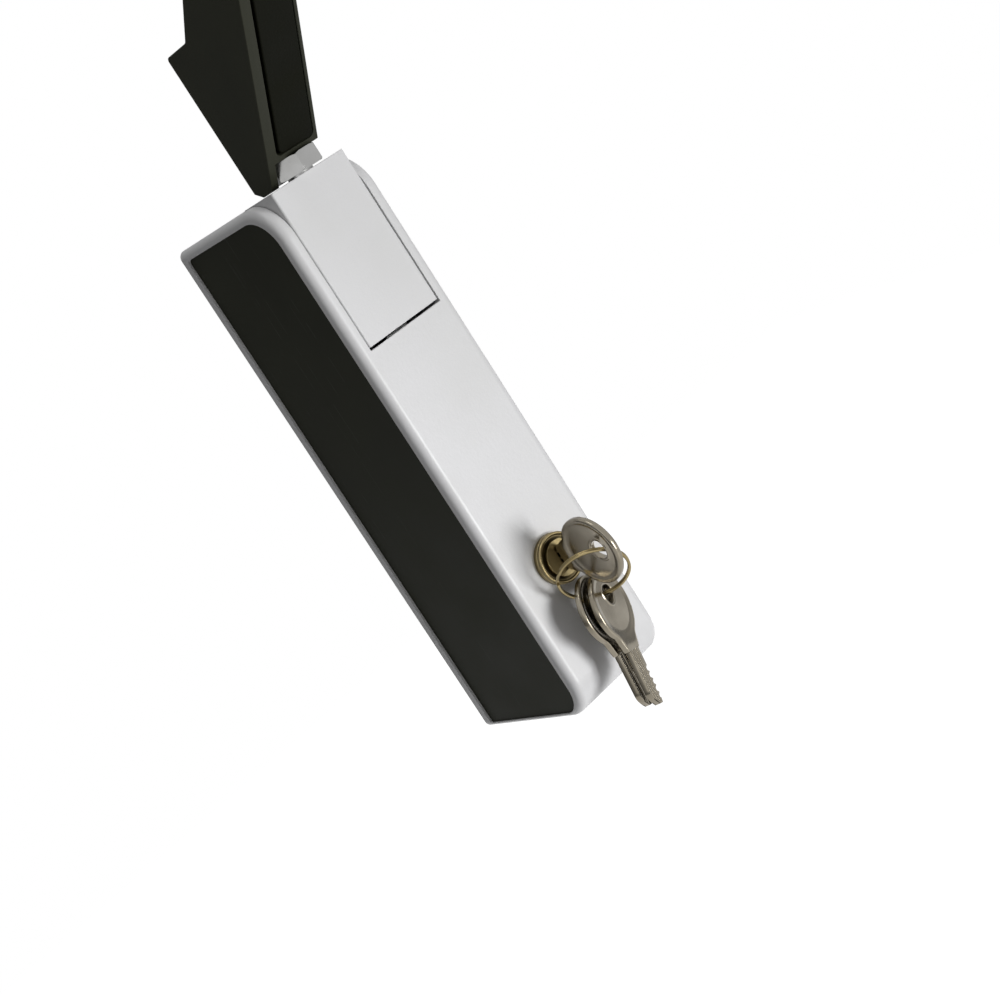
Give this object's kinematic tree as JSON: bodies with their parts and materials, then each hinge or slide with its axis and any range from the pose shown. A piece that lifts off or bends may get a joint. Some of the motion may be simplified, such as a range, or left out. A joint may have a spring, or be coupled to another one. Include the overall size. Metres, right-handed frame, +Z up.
{
  "type": "three-point lock",
  "caption": "Surface-mounted three-point lock: a grey upright case with black side panels, a black lift-out lever on a hub at the top, a key cylinder and keys on a ring.",
  "frame": {"origin": "on the back face of the case, in its middle both ways, where it lies on the door", "axes": "+X to the right seen from the front, -Y out of the door towards the user, +Z up"},
  "size_m": [0.059, 0.1461, 0.3385],
  "materials": {
    "grey_paint": "satin powder coat, light grey",
    "black_panel": "semi-gloss black enamel",
    "black_lever": "satin black coating",
    "grip_rubber": "matt black grip",
    "zinc_steel": "zinc plated",
    "bright_steel": "machined, oiled",
    "chrome_plate": "bright plated",
    "nickel_key": "nickel plated brass, worn",
    "yellow_brass": "polished",
    "spring_steel": "spring wire"
  },
  "bodies": {
    "case": {"case_shell": "grey_paint", "left_side_panel": "black_panel", "right_side_panel": "black_panel", "back_plate": "zinc_steel", "back_plate_screws": "zinc_steel", "lever_pin": "bright_steel", "pinion_axle": "bright_steel", "pinion_spacers": "zinc_steel", "top_rod_guide": "zinc_steel", "bottom_rod_guide": "zinc_steel", "rack_guides": "zinc_steel", "bolt_rails": "zinc_steel", "spring_spigot": "bright_steel", "return_spring": "spring_steel", "cylinder_body": "yellow_brass", "cylinder_rosette": "yellow_brass", "cylinder_nut": "yellow_brass", "slide_guide": "zinc_steel"},
    "lever": {"lever_hub": "grey_paint", "drive_sector": "bright_steel", "sector_pins": "bright_steel", "hub_bushes": "yellow_brass", "lever_stud": "chrome_plate", "lock_nut": "chrome_plate", "lever_arm": "black_lever", "grip_insert": "grip_rubber"},
    "drive_bar": {"drive_rack": "bright_steel", "bottom_link": "bright_steel", "bottom_rod_socket": "bright_steel"},
    "pull_bar": {"top_bar": "bright_steel", "top_rod_socket": "bright_steel"},
    "pinion": {"reversing_pinion": "bright_steel"},
    "bolt": {"side_bolt": "chrome_plate", "bolt_pin": "bright_steel"},
    "plug": {"key_plug": "yellow_brass", "wafer_tumblers": "yellow_brass", "lock_pinion": "yellow_brass", "tail_screw": "bright_steel"},
    "locking_bar": {"locking_slide": "bright_steel"},
    "working_key": {"inserted_key": "nickel_key"},
    "ring": {"key_ring": "yellow_brass"},
    "front_key": {"spare_key_front": "nickel_key"},
    "back_key": {"spare_key_back": "nickel_key"}
  },
  "joints": [
    {"name": "lever_swing", "type": "hinge", "parent": "case", "child": "lever", "pos_m": [0, -0.057, 0.055], "axis": [1, 0, 0], "range_deg": [0, 90], "stiffness_Nm_per_rad": 0.8, "springref_deg": -34.38},
    {"name": "drive_bar_slide", "type": "slide", "parent": "case", "child": "drive_bar", "axis": [0, 0, 1], "range_m": [0, 0.0213], "deforming": ["return_spring"]},
    {"name": "pull_bar_slide", "type": "slide", "parent": "case", "child": "pull_bar", "axis": [0, 0, -1], "range_m": [0, 0.0213]},
    {"name": "pinion_turn", "type": "hinge", "parent": "case", "child": "pinion", "pos_m": [0, -0.02635, -0.00599], "axis": [-1, 0, 0], "range_deg": [0, 135.1]},
    {"name": "bolt_slide", "type": "slide", "parent": "case", "child": "bolt", "axis": [-1, 0, 0], "range_m": [0, 0.0141]},
    {"name": "key_turn", "type": "hinge", "parent": "case", "child": "plug", "pos_m": [0, -0.067, -0.054], "axis": [0, -1, 0], "range_deg": [0, 90]},
    {"name": "locking_bar_slide", "type": "slide", "parent": "case", "child": "locking_bar", "axis": [-1, 0, 0], "range_m": [0, 0.0079]},
    {"name": "key_withdraw", "type": "slide", "parent": "plug", "child": "working_key", "axis": [0, -1, 0], "range_m": [0, 0.028]},
    {"name": "ring_swing", "type": "hinge", "parent": "working_key", "child": "ring", "pos_m": [0, -0.0936, -0.054], "axis": [1, 0, 0], "range_deg": [-45, 0]},
    {"name": "front_key_swing", "type": "hinge", "parent": "ring", "child": "front_key", "pos_m": [0.00293, -0.07712, -0.07289], "axis": [-0.4695, 0.8829, 0], "range_deg": [-20, 2]},
    {"name": "back_key_swing", "type": "hinge", "parent": "ring", "child": "back_key", "pos_m": [-0.00081, -0.07441, -0.07154], "axis": [-0.4695, 0.8829, 0], "range_deg": [-8, 8]}
  ],
  "couplings": [
    {"joint": "drive_bar_slide", "follows": "lever_swing", "m_per_rad": 0.0135},
    {"joint": "pull_bar_slide", "follows": "lever_swing", "m_per_rad": 0.0135},
    {"joint": "pinion_turn", "follows": "lever_swing", "ratio": 1.5},
    {"joint": "bolt_slide", "follows": "lever_swing", "m_per_rad": 0.0089127},
    {"joint": "locking_bar_slide", "follows": "key_turn", "m_per_rad": 0.005}
  ]
}
